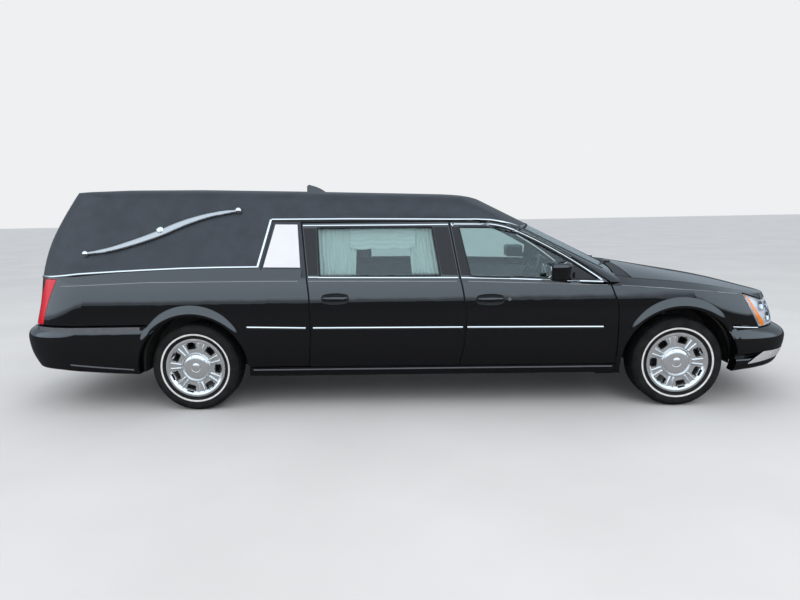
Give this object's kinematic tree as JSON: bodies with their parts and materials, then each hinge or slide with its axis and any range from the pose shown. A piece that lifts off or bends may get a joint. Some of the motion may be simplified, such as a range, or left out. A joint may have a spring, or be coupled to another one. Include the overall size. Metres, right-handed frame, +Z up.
{
  "type": "hearse",
  "caption": "Closed landau hearse with side doors, hood and side-hinged loading door that open, steered front wheels, curtained rear cabin and roller load deck.",
  "frame": {"origin": "on the ground, under the middle of the overall length and on the car's centre line", "axes": "+X forward, +Y to the left of the car, +Z up"},
  "size_m": [6.2816, 2.344, 1.7633],
  "materials": {
    "body_paint": "deep gloss black paint",
    "vinyl": "padded grained vinyl, satin black",
    "glass": "green tinted safety glass",
    "black_plastic": "grained black plastic",
    "chrome": "bright chrome",
    "lamp_clear": "clear lamp lens over bright reflectors",
    "lamp_red": "ribbed red lamp lens",
    "steel": "black primed and coated steel",
    "cast": "cast, plain",
    "leather": "grained black hide",
    "wedge_paint": "pale satin panel, bare",
    "curtain_cloth": "pleated pale drapery",
    "deck_wood": "dark laminate with bright rollers",
    "tyre": "black rubber with a thin white line",
    "rim": "chromed alloy"
  },
  "bodies": {
    "body": {"fenders": "body_paint", "quarters": "body_paint", "front_bumper": "body_paint", "rear_bumper": "body_paint", "windshield_frame": "body_paint", "roof_shell": "vinyl", "windshield": "glass", "cowl": "black_plastic", "rockers": "black_plastic", "dashboard": "black_plastic", "steering_wheel": "black_plastic", "arch_liners": "black_plastic", "antenna": "black_plastic", "grille": "chrome", "landau_bars": "chrome", "wedge_panels": "wedge_paint", "drapes": "curtain_cloth", "headlamps": "lamp_clear", "tail_lamps": "lamp_red", "center_posts": "steel", "floor_pan": "steel", "front_suspension": "steel", "rear_suspension": "steel", "exhaust": "steel", "fuel_tank": "steel", "engine": "cast", "seats": "leather", "load_deck": "deck_wood"},
    "hood_lid": {"hood": "body_paint"},
    "door_front_right": {"front_door_right": "body_paint", "front_door_glass_right": "glass", "mirror_right": "body_paint"},
    "door_front_left": {"front_door_left": "body_paint", "front_door_glass_left": "glass", "mirror_left": "body_paint"},
    "door_rear_right": {"rear_door_right": "body_paint", "rear_door_glass_right": "glass"},
    "door_rear_left": {"rear_door_left": "body_paint", "rear_door_glass_left": "glass"},
    "door_loading": {"loading_door": "body_paint", "loading_glass": "glass"},
    "steer_right": {"knuckle_right": "steel"},
    "steer_left": {"knuckle_left": "steel"},
    "spin_front_left": {"tyre_front_left": "tyre", "wheel_front_left": "rim"},
    "spin_front_right": {"tyre_front_right": "tyre", "wheel_front_right": "rim"},
    "spin_rear_left": {"tyre_rear_left": "tyre", "wheel_rear_left": "rim"},
    "spin_rear_right": {"tyre_rear_right": "tyre", "wheel_rear_right": "rim"}
  },
  "joints": [
    {"name": "hood_hinge", "type": "hinge", "parent": "body", "child": "hood_lid", "pos_m": [1.786, 0, 1.075], "axis": [0, -1, 0], "range_deg": [0, 50]},
    {"name": "front_door_right_hinge", "type": "hinge", "parent": "body", "child": "door_front_right", "pos_m": [1.628, -0.938, 0.7], "axis": [0, 0, 1], "range_deg": [0, 66]},
    {"name": "front_door_left_hinge", "type": "hinge", "parent": "body", "child": "door_front_left", "pos_m": [1.628, 0.938, 0.7], "axis": [0, 0, -1], "range_deg": [0, 66]},
    {"name": "rear_door_right_hinge", "type": "hinge", "parent": "body", "child": "door_rear_right", "pos_m": [0.488, -0.938, 0.7], "axis": [0, 0, 1], "range_deg": [0, 66]},
    {"name": "rear_door_left_hinge", "type": "hinge", "parent": "body", "child": "door_rear_left", "pos_m": [0.488, 0.938, 0.7], "axis": [0, 0, -1], "range_deg": [0, 66]},
    {"name": "loading_door_hinge", "type": "hinge", "parent": "body", "child": "door_loading", "pos_m": [-2.92, 0.571, 0.9], "axis": [0, 0, -1], "range_deg": [0, 95]},
    {"name": "steer_right_pivot", "type": "hinge", "parent": "body", "child": "steer_right", "pos_m": [2.115, -0.735, 0.342], "axis": [0, 0, 1], "range_deg": [-32, 32]},
    {"name": "steer_left_pivot", "type": "hinge", "parent": "body", "child": "steer_left", "pos_m": [2.115, 0.735, 0.342], "axis": [0, 0, 1], "range_deg": [-32, 32]},
    {"name": "wheel_front_left_spin", "type": "hinge", "parent": "steer_left", "child": "spin_front_left", "pos_m": [2.115, 0.79, 0.342], "axis": [0, 1, 0], "continuous": true},
    {"name": "wheel_front_right_spin", "type": "hinge", "parent": "steer_right", "child": "spin_front_right", "pos_m": [2.115, -0.79, 0.342], "axis": [0, 1, 0], "continuous": true},
    {"name": "wheel_rear_left_spin", "type": "hinge", "parent": "body", "child": "spin_rear_left", "pos_m": [-1.6, 0.79, 0.342], "axis": [0, 1, 0], "continuous": true},
    {"name": "wheel_rear_right_spin", "type": "hinge", "parent": "body", "child": "spin_rear_right", "pos_m": [-1.6, -0.79, 0.342], "axis": [0, 1, 0], "continuous": true}
  ],
  "couplings": [
    {"joint": "steer_left_pivot", "follows": "steer_right_pivot", "ratio": 1}
  ]
}
